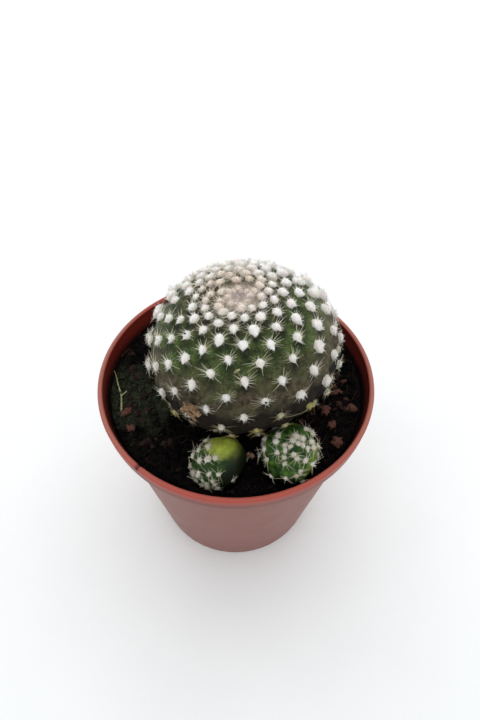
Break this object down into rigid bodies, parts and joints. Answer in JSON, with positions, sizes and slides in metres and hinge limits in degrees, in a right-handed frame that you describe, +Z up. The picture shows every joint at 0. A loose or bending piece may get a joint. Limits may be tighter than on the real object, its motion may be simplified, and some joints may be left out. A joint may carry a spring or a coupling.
{
  "type": "potted cactus",
  "caption": "Small globe cactus with woolly white areoles and short spines, with offsets at its foot, in soil in a round tapering plastic pot.",
  "frame": {"origin": "middle of the pot's underside, on the surface that the pot stands on", "axes": "+Z up out of the pot, -Y towards the side where the offsets grow"},
  "size_m": [0.065, 0.065, 0.0828],
  "materials": {
    "pot_plastic": "satin",
    "peat": "matte",
    "dark_green_stem": "satin",
    "yellow_green_stem": "satin",
    "bright_green_stem": "satin",
    "straw": "matte"
  },
  "bodies": {
    "root": {"pot": "pot_plastic", "soil": "peat", "mother_stem": "dark_green_stem", "left_offset": "yellow_green_stem", "right_offset": "bright_green_stem", "dry_grass": "straw"}
  },
  "joints": []
}
